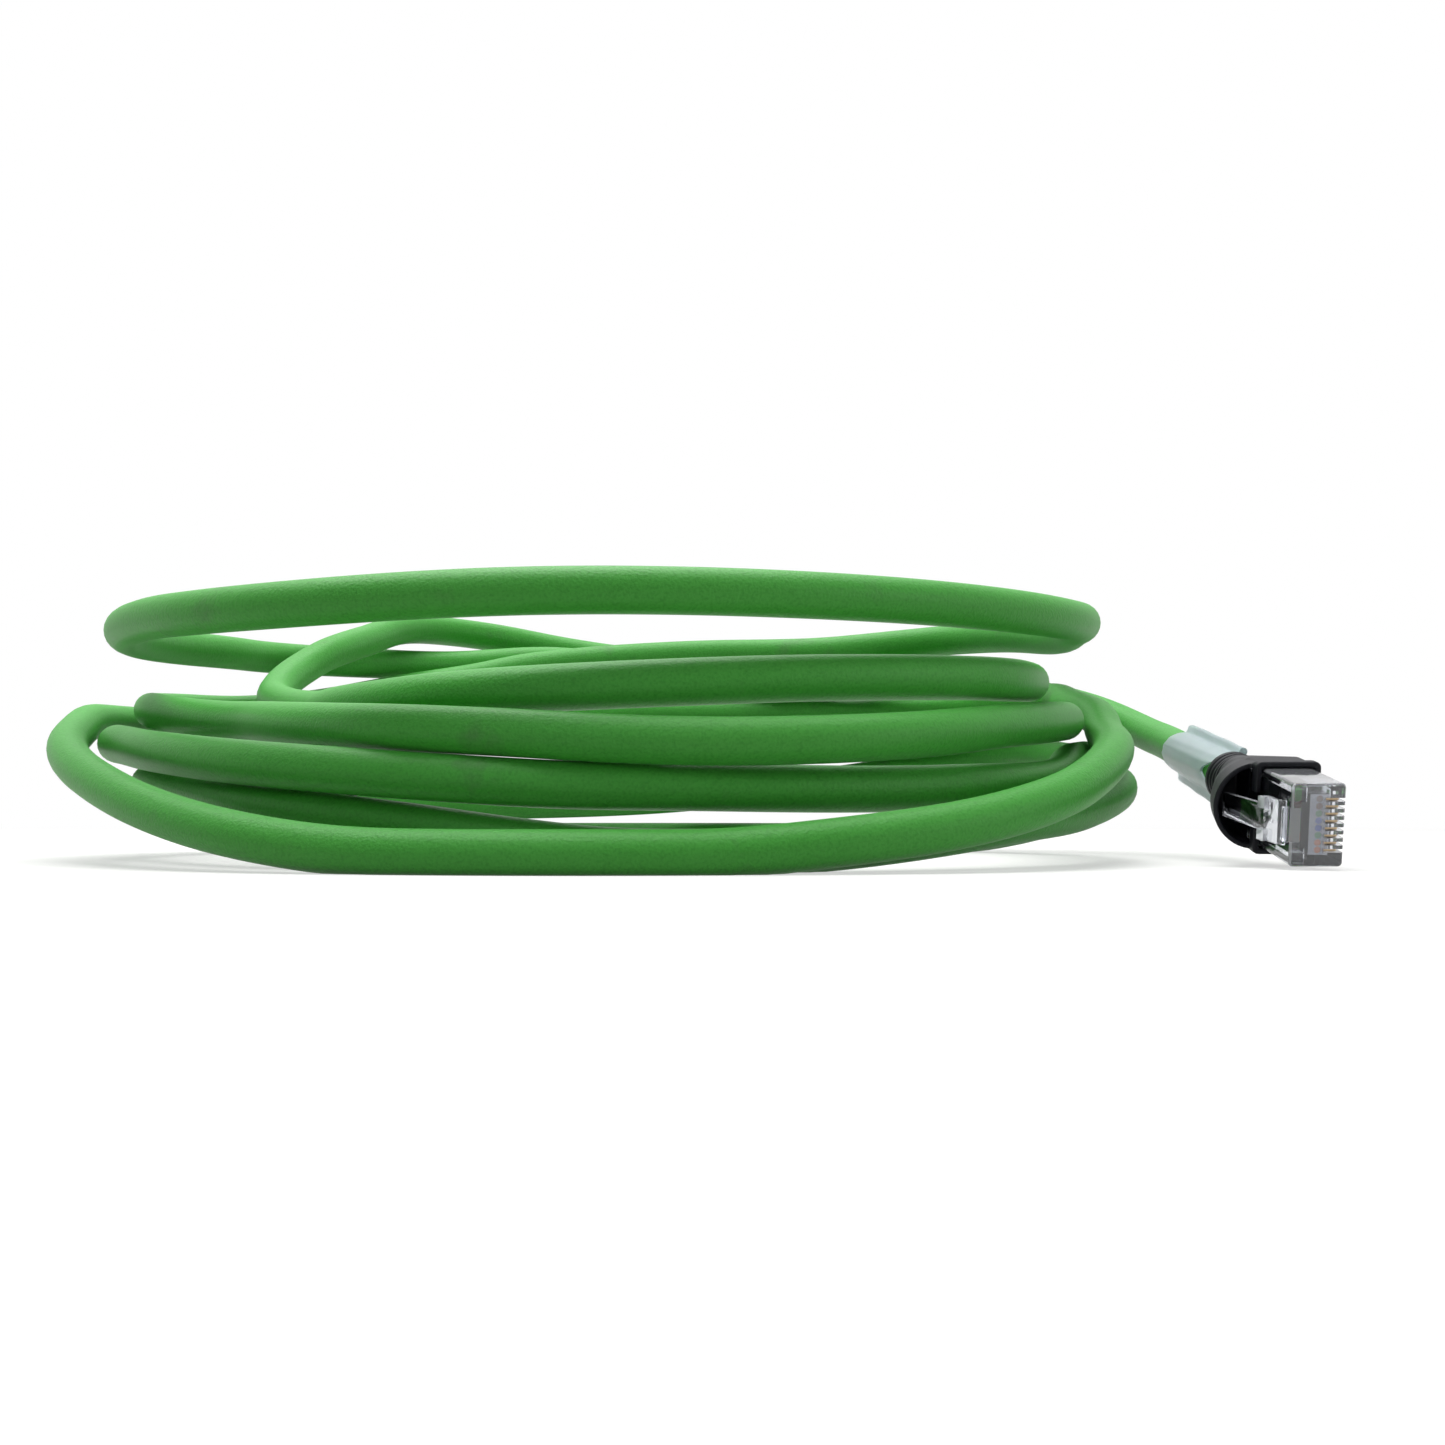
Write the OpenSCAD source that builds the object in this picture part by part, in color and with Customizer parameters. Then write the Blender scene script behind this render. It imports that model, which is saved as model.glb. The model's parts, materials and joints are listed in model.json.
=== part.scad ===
// Ethernet patch cable: a loose coil of six turns with an 8P8C plug and a boot on each end.
// +Z is up and the floor is z = 0. The coil lies round the vertical line at coil_at.

/* [Cable] */
// Outer diameter of the jacket
cable_d = 6.5; // [6:0.1:6.8]
// Sides of the coil's faceted section
coil_sides = 6; // [6:2:8]
// Sides of the leads' faceted section
lead_sides = 12; // [8:4:16]
// Angle between two rings of the coil
ring_step = 15; // [10:1:20]

/* [Plug housing] */
// Length of the housing along the cable
housing_l = 21.5; // [20:0.1:24]
// Width of the housing across the eight contacts
housing_w = 11.68; // [11.5:0.01:11.8]
// Thickness of the housing from contact side to latch side
housing_t = 7.4; // [7:0.1:8]
// Wall of the housing round the rear cavity
housing_wall = 0.75; // [0.5:0.05:0.9]
// Bevel on the four long edges of the nose
nose_bevel = 0.5; // [0.2:0.1:0.8]
// Length of the nose ahead of the load bar
nose_wall = 1.2; // [0.8:0.1:2]
// Depth of the two strain-relief recesses in the contact side
recess_depth = 0.4; // [0.2:0.05:0.5]
// Length of the recess over the jacket
jacket_recess_l = 4.5; // [3:0.1:5]
// Length of the recess over the wires
wire_recess_l = 1.6; // [1:0.1:2]

/* [Contacts and wires] */
// Pitch of the contacts
contact_pitch = 1.02; // [1:0.01:1.04]
// Thickness of one contact blade
contact_t = 0.35; // [0.25:0.05:0.45]
// Length of one contact blade
contact_l = 5.4; // [4:0.1:6]
// Depth of a blade's top edge below the contact side
contact_sunk = 0.7; // [0.2:0.05:0.8]
// Outer diameter of one insulated wire
wire_d = 0.94; // [0.8:0.01:0.96]
// Length of the load bar
load_bar_l = 6; // [5:0.1:7]
// Thickness of the load bar
load_bar_t = 2.6; // [2.2:0.1:3]
// Free length of the wires between the jacket and the load bar
wire_fan_l = 4; // [3:0.1:5]

/* [Latch] */
// Width of the latch plate at the hinge and the shoulders
latch_w = 6.2; // [5.8:0.1:6.6]
// Width of the thumb tab behind the shoulders
latch_tab_w = 3.8; // [3:0.1:4.4]
// Thickness of the latch
latch_t = 0.8; // [0.6:0.1:1]
// Distance from the nose to the hinge line
latch_setback = 2.6; // [2:0.1:3.4]
// Length of the latch plate from the hinge to the shoulders
latch_plate_l = 7.2; // [6.5:0.1:8]
// Length of the latch from the hinge to the end of the tab
latch_l = 16.5; // [15:0.1:17.4]
// Angle of the free latch to the housing
latch_angle = 12; // [9:0.5:14]
// Height of the two locking shoulders over the plate
shoulder_h = 0.7; // [0.4:0.05:0.8]
// Width of each locking shoulder
shoulder_w = 1.6; // [1:0.1:1.8]
// Length of each locking shoulder
shoulder_l = 1.9; // [1:0.1:2]
// Width of the block on the housing ahead of the hinge
hinge_block_w = 4.8; // [4:0.1:5.4]
// Height of that block over the hinge line
hinge_block_h = 0.3; // [0:0.1:0.6]
// Radius of the latch's round root
latch_root_r = 0.6; // [0.5:0.05:0.7]

/* [Boot] */
// Length of the boot
boot_l = 31; // [29:0.1:32]
// Diameter of the boot's ribbed neck
neck_d = 8.8; // [8.6:0.1:9.6]
// Length of the ribbed neck
neck_l = 9; // [8:0.1:10]
// Number of grooves round the neck
groove_n = 4; // [2:1:4]
// Width of one groove
groove_w = 0.8; // [0.5:0.1:1]
// Depth of one groove
groove_depth = 0.4; // [0.2:0.05:0.5]
// Wall of the boot round the housing
boot_wall = 0.9; // [0.7:0.05:1.2]
// Length of the raised rim round the boot's mouth
rim_l = 2.2; // [1.5:0.1:3]
// Height of the raised rim
rim_h = 0.3; // [0.2:0.05:0.4]
// Radius of the open hood over the latch's free end
hood_r = 6.5; // [6.3:0.1:6.5]
// Height of the middle of the hood's rim over the plug's middle
hood_z = 3.6; // [3.4:0.1:4]
// Wall of the hood
hood_wall = 0.8; // [0.6:0.1:0.9]
// Width of the window for the latch's tab in the rim
window_w = 4.6; // [4.4:0.1:6]

/* [Label sleeve] */
// Length of the clear sleeve behind the boot, along its longest side
sleeve_l = 39; // [32:0.5:40]
// Wall of the sleeve's tube
sleeve_wall = 0.45; // [0.3:0.05:0.6]
// Reach of the sleeve's two wings from its axis
wing_r = 5.3; // [4.8:0.1:5.5]
// Thickness of the wings
wing_t = 1.2; // [0.8:0.1:1.6]
// Angle by which the sleeve's far end slants, longest on the latch side
sleeve_slant = 66; // [50:1:68]

/* [Layout] */
// Tilt of plug A, nose down
tilt_a = 9.5; // [8:0.5:12]
// Turn of plug A about the vertical
yaw_a = 1.5; // [0:0.5:2.5]
// Turn of plug B about the vertical
yaw_b = 0; // [-2:0.5:2]
// Turn of sleeve A round its cable
sleeve_turn_a = -15; // [-20:5:20]
// Turn of sleeve B round its cable
sleeve_turn_b = 0; // [-10:5:10]

/* [Hidden] */

$fn = 48;
eps = 0.01;
jacket_gap = 0.1;      // round the jacket, in the boot and the sleeve
fit_gap = 0.1;         // between the housing and the boot's collar
load_bar_gap = 0.05;   // round the load bar in the housing
blade_gap = 0.08;      // on each side of a contact blade
wire_gap = 0.02;       // round a wire in the load bar
root_gap = 0.05;       // round the latch's root in its seat
end_gap = 0.05;        // between pieces that meet end to end
rest_gap = 0.45;       // between plug A's lowest corner and the floor
comb_gap = 0.1;        // on each side of the load bar's eight bores
cavity_gap = 0.4;      // the housing's side walls are thicker by this round the rear cavity

cable_r = cable_d / 2;
floor_cut = cable_d / 10;          // depth of the flat that the jacket stands on
lie_h = cable_r - floor_cut;       // height of the jacket's centre line where it lies on the floor
coil_at = [-6.5, -3.5, 0];             // the coil's middle, which centres the whole part on the origin

// Places along a plug, measured from the boot's rear face.
housing_x = 24;
nose_x = housing_x + housing_l;
load_bar_x = nose_x - nose_wall - load_bar_l;
jacket_end_x = load_bar_x - wire_fan_l;
hinge_x = nose_x - latch_setback;
contact_ahead = 0.6;               // the blades reach this far past the load bar
contact_x = nose_x - nose_wall - contact_l + contact_ahead;
teeth_x = [0.6, 2, 3.4];           // where the teeth that cut into the wires stand on a blade
tooth_l = 0.7;
face_z = housing_t / 2;            // the latch side; the contact side is at -face_z
hinge_z = face_z + latch_root_r - 0.1;
wire_z = -0.35;
wire_sides = 8;
fan_pitch = 0.64;                  // the wires' pitch at the jacket's end, in two rows
fan_high = 0.8;
fan_low = -1.1;
boot_w = housing_w + 2 * (boot_wall + fit_gap);
boot_t = housing_t + 2 * (boot_wall + fit_gap);
pressed_wide = 1.12;               // the jacket's end, pressed flat in the housing
pressed_thin = 0.84;
flare_from = neck_l - 4;           // where the boot starts to widen
flare_x = neck_l + 14;             // where it has widened to the collar's section
hood_end = boot_l - rim_l;         // the hood's rim, behind the mouth's rim
hood_mid = [22, 6.2, 2.7];         // place, radius and height of the hood at half its length
hood_rear = [18, 5.8, 1.9];        // the same at the end of its hollow
groove_step = neck_l / (groove_n + 1);
squeeze_x = housing_x - 4;         // where the jacket starts to be pressed flat
squeeze_z = cable_r * pressed_thin + jacket_gap;
sleeve_r = cable_r + jacket_gap + sleeve_wall;

// The coil, as stations of the centre line: angle counted on from turn to turn, radius, height.
// Lead from plug A, rising over the back of the coil.
LEAD = [[12, 108, 22.9], [16, 109, 24.6], [20, 109.5, 26.7], [26, 110.5, 29.7], [32, 111, 32.4],
    [40, 111, 35.5], [52, 109.5, 39.4], [66, 107, 42.2], [78, 105, 43.4], [84, 104.5, 43.9],
    [92, 103, 45.2], [99, 102, 46.9], [108, 99, 49.2], [117, 94, 49.9]];
// The arch that drops through the coil at the left.
ARCH = [[125, 86, 48.8], [134, 76.5, 45], [143, 70, 42], [150, 67.5, 39.5], [156, 66.5, 36.5],
    [165, 64, 33], [174, 61.5, 29.5], [188, 55.5, 27], [204, 53, 25.5]];
TURN_1 = [[221, 55.5, 24.5], [243, 67.5, 24], [257, 75, 24.5], [275, 82, 25.2], [295, 84, 26.6],
    [318, 84.5, 28], [332, 80, 29], [345, 77, 30.2], [372, 77, 32.5], [400, 83, 35.7],
    [430, 90, 38.2], [450, 91.5, 42], [462, 89.5, 43.4], [476, 90.5, 41.7], [490, 87, 41],
    [509, 84, 40.2], [520, 80.5, 39.7]];
TURN_2 = [[540, 81.5, 38.8], [555, 82, 38.3], [578, 82.5, 37.7], [590, 84, 37], [604, 85.5, 36.7],
    [630, 85.5, 37.5], [660, 85.5, 37.8], [680, 86, 38.2], [695, 86, 39], [705, 85.5, 40.2],
    [720, 86, 41.5], [737, 91.5, 42.5], [750, 94, 44.8], [762, 96, 45.8], [770, 93.5, 45.4],
    [780, 87, 44.2], [797, 77, 43.6], [814, 74.5, 42.3], [827, 77.5, 40.5], [834, 79.5, 38.3],
    [842, 82, 36.3], [850, 84, 34], [858, 86.5, 31.4], [869, 88.5, 29.2], [876, 89, 28.6]];
TURN_3 = [[882, 88.5, 28.3], [890, 87, 27.6], [898, 82.5, 26.8], [906, 76.5, 25.6],
    [916, 70, 24.2], [926, 65.5, 23.2], [935, 64.5, 22.7], [947, 68, 21.8], [963, 75.5, 20.5],
    [974, 82, 19.6], [985, 84.5, 18.8], [997, 88, 17.8], [1007, 91, 17.6], [1020, 92, 18.4],
    [1037, 87, 20.8], [1052, 84, 22.4], [1064, 83, 23.5], [1073, 82, 23.9], [1092, 82, 24.2],
    [1105, 85, 24.6], [1126, 89, 23.5], [1150, 92, 23.8], [1170, 94.5, 25.4], [1190, 96.5, 26],
    [1209, 98, 26.4], [1225, 98, 26.3], [1235, 97, 26], [1245, 95.5, 25.5], [1252, 94.5, 25.2]];
TURN_4 = [[1260, 93, 24.5], [1268, 91.5, 22], [1277, 91, 19.3], [1297, 90.5, 12.7],
    [1312, 92, 7.8], [1323, 94, 4.9], [1333, 95, 3], [1345, 96, 2.6], [1362, 97, 2.6],
    [1371, 98.5, 3.9], [1382, 101, 6.3], [1393, 100.5, 10], [1405, 96.5, 14.8],
    [1415, 93, 18.1], [1428, 89.5, 21.1], [1436, 89.3, 24.8], [1448, 89, 28], [1457, 91, 30.4],
    [1485, 92.5, 30.4], [1506, 90.5, 30.7], [1530, 88, 31], [1550, 84.5, 29], [1570, 80.5, 25.5],
    [1590, 80, 22.5], [1603, 82, 20.4]];
TURN_5 = [[1611, 84, 19.9], [1620, 85.5, 19.9], [1628, 84.7, 20], [1635, 83, 19.7],
    [1644, 80.5, 18.6], [1661, 80.5, 16.5], [1678, 82.5, 14.4], [1697, 84.5, 12.3],
    [1710, 85, 11.1], [1718, 85.5, 10.9], [1738, 87, 10.7], [1752, 87, 11.5], [1769, 85.5, 13],
    [1777, 84.5, 14.6], [1784, 83.5, 16.3], [1792, 85, 17.2], [1800, 88, 17.8], [1812, 91, 18.2],
    [1822, 93.5, 19.6], [1832, 95.3, 20.5], [1845, 94, 18.2], [1860, 89, 15], [1880, 80, 11.7],
    [1897, 79, 10.4], [1925, 82, 9.7], [1950, 84, 9.5], [1968, 82, 11]];
TURN_6 = [[1980, 79, 13], [1995, 78, 12.7], [2019, 76, 10.2], [2038, 80, 7.6], [2056, 82.5, 5.4],
    [2066, 84, 3.8], [2076, 85.5, 2.6], [2086, 88.8, 2.6], [2094, 91.5, 3.4], [2102, 93.6, 4.8],
    [2113, 93.5, 6.8], [2125, 92.3, 8.3], [2137, 92.5, 11.2], [2146, 91.3, 12.7], [2153, 91, 11.5],
    [2160, 89, 9.8], [2175, 86, 6], [2190, 84, 3.2], [2205, 83, 2.6], [2240, 85, 2.6]];
// The tail, which turns in and lies along the floor inside the coil.
TAIL = [[2257, 86, 2.6], [2268, 86, 2.6], [2275, 84, 2.6], [2281, 80.5, 2.9],
    [2285.5, 76.5, 3.4], [2289.5, 71.5, 4]];
STATIONS = concat(LEAD, ARCH, TURN_1, TURN_2, TURN_3, TURN_4, TURN_5, TURN_6, TAIL);

// Smooth value of column c at angle t: a cubic through the stations.
function slope(i, c) = let(a = max(0, i - 1), b = min(len(STATIONS) - 1, i + 1))
    (STATIONS[b][c] - STATIONS[a][c]) / (STATIONS[b][0] - STATIONS[a][0]);
function cubic(i, t, c) =
    let(p = STATIONS[i], q = STATIONS[i + 1], h = q[0] - p[0], s = (t - p[0]) / h)
    (2 * pow(s, 3) - 3 * s * s + 1) * p[c] + (pow(s, 3) - 2 * s * s + s) * h * slope(i, c)
    + (3 * s * s - 2 * pow(s, 3)) * q[c] + (pow(s, 3) - s * s) * h * slope(i + 1, c);
function span_of(t, lo = 0, hi = len(STATIONS) - 1) = hi - lo < 2 ? lo
    : let(m = floor((lo + hi) / 2)) t < STATIONS[m][0] ? span_of(t, lo, m) : span_of(t, m, hi);
function coil(t) = let(i = span_of(t), r = cubic(i, t, 1), h = max(lie_h, cubic(i, t, 2)))
    coil_at + [r * cos(t), r * sin(t), h];

// Where the plugs lie: the middle of each boot's rear face, and the direction of its nose.
dir_a = [-sin(yaw_a) * cos(tilt_a), -cos(yaw_a) * cos(tilt_a), -sin(tilt_a)];
dir_b = [-sin(yaw_b), -cos(yaw_b), 0];
rear_a = coil_at + [105, -32.5, nose_x * sin(tilt_a) + housing_w / 2 * cos(tilt_a) + rest_gap];
rear_b = coil_at + [-45.5, 3, boot_t / 2];

// The centre line: straight in each plug, boot and sleeve, and round the coil between them.
coil_start = STATIONS[0][0];
coil_end = STATIONS[len(STATIONS) - 1][0];
lead_x = -sleeve_l - 2;            // where a lead meets the coil, which runs straight at first
function along(rear, dir, xs) = [for (x = xs) rear + x * dir];
function coil_route(step) = concat(along(rear_a, dir_a, [lead_x, lead_x - cable_d]),
    [coil(coil_start)], [for (t = [ceil(coil_start / step + 0.2) * step : step
        : coil_end - step / 3]) coil(t)], [coil(coil_end)],
    along(rear_b, dir_b, [lead_x - cable_d, lead_x]));

// A tube of m sides and radius r along pts. Each ring is square to the route, with a corner
// straight down. The first two rings may be pressed flat: sideways and upright shares of r.
function unit(v) = v / norm(v);
function ring(pts, i, m, r, pressed) =
    let(last = len(pts) - 1, dir = unit(pts[min(i + 1, last)] - pts[max(i - 1, 0)]),
        side = unit(cross(dir, [0, 0, 1])), up = cross(side, dir),
        k = i < 2 ? pressed : [1, 1])
    [for (j = [0 : m - 1]) let(a = 360 * j / m - 90)
        pts[i] + r * (cos(a) * k[0] * side + sin(a) * k[1] * up)];
function tube_faces(n, m) = concat(
    [for (i = [0 : n - 2], k = [0 : m - 1], f = [0, 1]) let(a = i * m + k,
        b = i * m + (k + 1) % m) f == 0 ? [a, a + m, b] : [b, a + m, b + m]],
    [for (k = [1 : m - 2]) [0, k, k + 1]],
    [for (k = [1 : m - 2]) [(n - 1) * m, (n - 1) * m + k + 1, (n - 1) * m + k]]);
module tube(pts, m, r = cable_r, pressed = [1, 1]) polyhedron(convexity = 12,
    points = [for (i = [0 : len(pts) - 1]) each ring(pts, i, m, r, pressed)],
    faces = tube_faces(len(pts), m));

// Least gap of the tube to itself: points on the tube's straight runs against the runs that lie
// more than far_on degrees away along it.
CUTS = 4;
far_on = 60;
CHECK = let(pts = coil_route(ring_step)) [for (i = [1 : len(pts) - 1], k = [1 : CUTS])
    pts[i - 1] + (pts[i] - pts[i - 1]) * k / CUTS];
skip_n = CUTS * far_on / ring_step;
LEAST = min([for (i = [0 : len(CHECK) - skip_n - 2]) for (j = [i + skip_n : 1 : len(CHECK) - 1])
    to_line(CHECK[i], CHECK[j - 1], CHECK[j])]);
function to_line(p, a, b) = let(s = max(0, min(1, (p - a) * (b - a) / ((b - a) * (b - a)))))
    norm(p - a - s * (b - a));
function run_of(p, i = 0) = i < len(p) - 1 ? norm(p[i + 1] - p[i]) + run_of(p, i + 1) : 0;
LENGTH = run_of(coil_route(3)) + 2 * (jacket_end_x - lead_x);
echo(least_gap_mm = LEAST - cable_d, cable_length_mm = LENGTH);

floor_size = 400;
module cable_coil() color("forestgreen") difference() {
    tube(coil_route(ring_step), coil_sides);
    translate([-floor_size, -floor_size, -2 * cable_d] / 2)
        cube([floor_size, floor_size, cable_d]);
}

// A lead, from its pressed end in the housing back to the coil.
LEAD_RUN = [jacket_end_x, housing_x - 0.5, squeeze_x, 0, lead_x];
module cable_lead(rear, dir, pressed) color("forestgreen")
    tube(along(rear, dir, LEAD_RUN), lead_sides, pressed = pressed);

// The pieces of one plug, along +X from the boot's rear, latch up, contacts down.
module box_x(x0, x1, w, z0, z1) translate([x0, -w / 2, z0]) cube([x1 - x0, w, z1 - z0]);
module rod_x(x0, x1, r, y = 0, z = 0) translate([x0, y, z]) rotate([0, 90, 0])
    cylinder(h = x1 - x0, r = r);
module rod_y(w, r, x, z) translate([x, w / 2, z]) rotate([90, 0, 0]) cylinder(h = w, r = r);

function contact_y(i) = (i - 3.5) * contact_pitch;
cavity_w = housing_w - 2 * (housing_wall + cavity_gap);
cavity_t = housing_t - 2 * housing_wall;
slot_w = contact_t + 2 * blade_gap;
comb_w = 8 * contact_pitch;
load_bar_w = comb_w + 2 * comb_gap;
recess_end = 0.5;

// A recess in the contact side, ending recess_end before x.
module recess(x, l, w) box_x(x - recess_end - l, x - recess_end, w, -face_z - eps,
    recess_depth - face_z);

module housing() color([0.88, 0.9, 0.92, 0.45]) difference() {
    union() {
        box_x(housing_x, nose_x - nose_bevel, housing_w, -face_z, face_z);
        box_x(nose_x - nose_bevel, nose_x, housing_w - 2 * nose_bevel,
            nose_bevel - face_z, face_z - nose_bevel);
        box_x(hinge_x + latch_root_r + 2 * root_gap, nose_x - 2 * nose_bevel, hinge_block_w,
            face_z - eps, hinge_z + hinge_block_h);
    }
    box_x(housing_x - eps, load_bar_x, cavity_w, -cavity_t / 2, cavity_t / 2);
    box_x(load_bar_x - eps, nose_x - nose_wall, load_bar_w + 2 * load_bar_gap,
        wire_z - load_bar_t / 2 - load_bar_gap, wire_z + load_bar_t / 2 + load_bar_gap);
    for (i = [0 : 7]) translate([contact_x - blade_gap, contact_y(i) - slot_w / 2, -face_z - eps])
        cube([nose_x, slot_w, face_z + wire_z - load_bar_t / 2 + 2 * eps]);
    recess(jacket_end_x, jacket_recess_l, cable_d);
    recess(load_bar_x, wire_recess_l, comb_w);
    rod_y(latch_w + 4 * fit_gap, latch_root_r + root_gap, hinge_x, hinge_z);
}

module latch() color([0.88, 0.9, 0.92, 0.45]) translate([hinge_x, 0, hinge_z])
    rotate([0, latch_angle, 0]) {
        rod_y(latch_w, latch_root_r, 0, 0);
        box_x(-latch_plate_l, 0, latch_w, latch_root_r - latch_t, latch_root_r);
        for (y = [-1, 1]) translate([0, y * (latch_w - shoulder_w) / 2, 0]) box_x(-latch_plate_l,
            shoulder_l - latch_plate_l, shoulder_w, latch_root_r - eps, latch_root_r + shoulder_h);
        box_x(-latch_l, eps - latch_plate_l, latch_tab_w, latch_root_r - latch_t, latch_root_r);
    }

module contacts() color("gold") for (i = [0 : 7]) translate([0, contact_y(i), 0]) {
    box_x(contact_x, contact_x + contact_l, contact_t, contact_sunk - face_z,
        wire_z - load_bar_t / 2 - end_gap);
    for (x = teeth_x) box_x(contact_x + x, contact_x + x + tooth_l, contact_t,
        wire_z - load_bar_t / 2 - end_gap - eps, wire_z - wire_d / 2 - end_gap);
}

module load_bar() color("whitesmoke") difference() {
    box_x(load_bar_x, nose_x - nose_wall - end_gap, load_bar_w, wire_z - load_bar_t / 2,
        wire_z + load_bar_t / 2);
    for (i = [0 : 7]) {
        rod_x(load_bar_x - eps, nose_x, wire_d / 2 + wire_gap, contact_y(i), wire_z);
        translate([contact_x + teeth_x[0] - blade_gap, contact_y(i) - slot_w / 2,
            wire_z - load_bar_t / 2 - eps]) cube([teeth_x[2] + tooth_l - teeth_x[0]
            + 2 * blade_gap, slot_w, load_bar_t / 2]);
    }
}

// One wire: square out of the jacket's end, fanned out to the load bar, then straight.
function wire_run(i) = let(y = (i - 3.5) * fan_pitch, z = i % 2 == 0 ? fan_high : fan_low) [
    [jacket_end_x + end_gap, y, z],
    [jacket_end_x + wire_d, y, z],
    [load_bar_x - wire_d, contact_y(i), wire_z],
    [nose_x - nose_wall - 2 * end_gap, contact_y(i), wire_z]];
module wire(i) tube(wire_run(i), wire_sides, wire_d / 2);
module wires_orange() color("darkorange") for (i = [0, 1]) wire(i);
module wires_green() color("seagreen") for (i = [2, 5]) wire(i);
module wires_blue() color("royalblue") for (i = [3, 4]) wire(i);
module wires_brown() color("saddlebrown") for (i = [6, 7]) wire(i);

// A hull along x through round sections, each with its place, radius and height. The radii are
// less by wall.
module cone_x(sections, wall = 0) hull() for (c = sections)
    rod_x(c[0], c[0] + eps, c[1] - wall, 0, c[2], $fn = 32);
HOOD_RIM = [hood_end - eps, hood_r, hood_z];

module boot() color([0.08, 0.08, 0.09]) difference() {
    union() {
        rod_x(0, neck_l, neck_d / 2);
        hull() {
            cone_x([[flare_from, neck_d / 2, 0]]);
            box_x(flare_x, flare_x + 1, boot_w - 2 * rim_h, rim_h - boot_t / 2,
                boot_t / 2 - rim_h);
        }
        cone_x([[neck_l - eps, neck_d / 2, 0], hood_mid, HOOD_RIM]);
        box_x(flare_x, boot_l, boot_w - 2 * rim_h, rim_h - boot_t / 2, boot_t / 2 - rim_h);
        box_x(hood_end, boot_l, boot_w, -boot_t / 2, boot_t / 2);
    }
    rod_x(-eps, housing_x, cable_r + jacket_gap);
    for (k = [1 : groove_n]) difference() {
        rod_x(k * groove_step, k * groove_step + groove_w, neck_d);
        rod_x(0, neck_l, neck_d / 2 - groove_depth);
    }
    box_x(squeeze_x, housing_x - fit_gap + eps, housing_w - 2 * boot_wall, -squeeze_z, squeeze_z);
    box_x(housing_x - fit_gap, boot_l + 1, housing_w + 2 * fit_gap, -face_z - fit_gap,
        face_z + fit_gap);
    box_x(hood_end - 1, boot_l + 1, window_w, 0, boot_t);
    difference() {
        cone_x([hood_rear, hood_mid, HOOD_RIM], hood_wall);
        box_x(0, boot_l + 1, 2 * boot_w, -boot_t, face_z + fit_gap + eps);
    }
}

// The clear sleeve: a tube with a wing on each side. Its far end is cut off at a slant.
module sleeve(turn) color([0.8, 0.88, 0.86, 0.5]) difference() {
    translate([-end_gap, 0, 0]) rotate([turn, 0, 0]) rotate([0, -90, 0])
        linear_extrude(height = sleeve_l) difference() {
            union() {
                circle(r = sleeve_r);
                square([wing_t, 2 * wing_r - wing_t], center = true);
                for (y = [-1, 1]) translate([0, y * (wing_r - wing_t / 2)]) circle(r = wing_t / 2);
            }
            circle(r = cable_r + jacket_gap);
        }
    translate([sleeve_r * tan(sleeve_slant) - sleeve_l, 0, 0]) rotate([0, -sleeve_slant, 0])
        translate([-sleeve_l, -sleeve_l, -sleeve_l]) cube([sleeve_l, 2 * sleeve_l, 2 * sleeve_l]);
}

module at_a() translate(rear_a) rotate([0, 0, -yaw_a]) rotate([tilt_a, 0, 0])
    rotate([90, 0, -90]) children();
module at_b() translate(rear_b) rotate([0, 0, -90 - yaw_b]) children();

cable_coil();
cable_lead(rear_a, dir_a, [pressed_thin, pressed_wide]);  // cable_lead_a
cable_lead(rear_b, dir_b, [pressed_wide, pressed_thin]);  // cable_lead_b
at_a() housing();  // housing_a
at_a() latch();  // latch_a
at_a() contacts();  // contacts_a
at_a() load_bar();  // load_bar_a
at_a() wires_orange();  // wires_orange_a
at_a() wires_green();  // wires_green_a
at_a() wires_blue();  // wires_blue_a
at_a() wires_brown();  // wires_brown_a
at_a() boot();  // boot_a
at_a() sleeve(sleeve_turn_a);  // sleeve_a
at_b() housing();  // housing_b
at_b() latch();  // latch_b
at_b() contacts();  // contacts_b
at_b() load_bar();  // load_bar_b
at_b() wires_orange();  // wires_orange_b
at_b() wires_green();  // wires_green_b
at_b() wires_blue();  // wires_blue_b
at_b() wires_brown();  // wires_brown_b
at_b() boot();  // boot_b
at_b() sleeve(sleeve_turn_b);  // sleeve_b
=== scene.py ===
import bpy
import bmesh
import json
import math
from mathutils import Matrix, Vector


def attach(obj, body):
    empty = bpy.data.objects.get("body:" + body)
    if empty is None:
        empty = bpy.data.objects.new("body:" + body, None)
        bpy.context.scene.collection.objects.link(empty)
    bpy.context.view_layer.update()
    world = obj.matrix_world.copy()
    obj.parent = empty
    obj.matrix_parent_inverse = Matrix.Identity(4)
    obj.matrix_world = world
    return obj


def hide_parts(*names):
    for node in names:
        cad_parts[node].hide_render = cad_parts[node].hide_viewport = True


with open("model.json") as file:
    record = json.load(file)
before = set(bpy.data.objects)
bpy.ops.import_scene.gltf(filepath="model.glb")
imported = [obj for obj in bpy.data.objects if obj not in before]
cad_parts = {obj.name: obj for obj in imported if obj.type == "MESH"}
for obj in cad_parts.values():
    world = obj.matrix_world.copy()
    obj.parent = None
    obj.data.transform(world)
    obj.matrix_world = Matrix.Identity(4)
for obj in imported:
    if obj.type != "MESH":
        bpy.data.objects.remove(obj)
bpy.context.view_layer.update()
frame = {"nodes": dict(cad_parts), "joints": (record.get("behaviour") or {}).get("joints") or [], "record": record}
mm = 0.001

# camera: level, just above the floor, with the picture shifted up
camera = {
    "place": (0.0155, -0.3215, 0.00765),
    "lens": 43.62,
    "sensor": 36,
    "shiftY": 0.064,
    "clipStart": 0.01,
}


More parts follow.
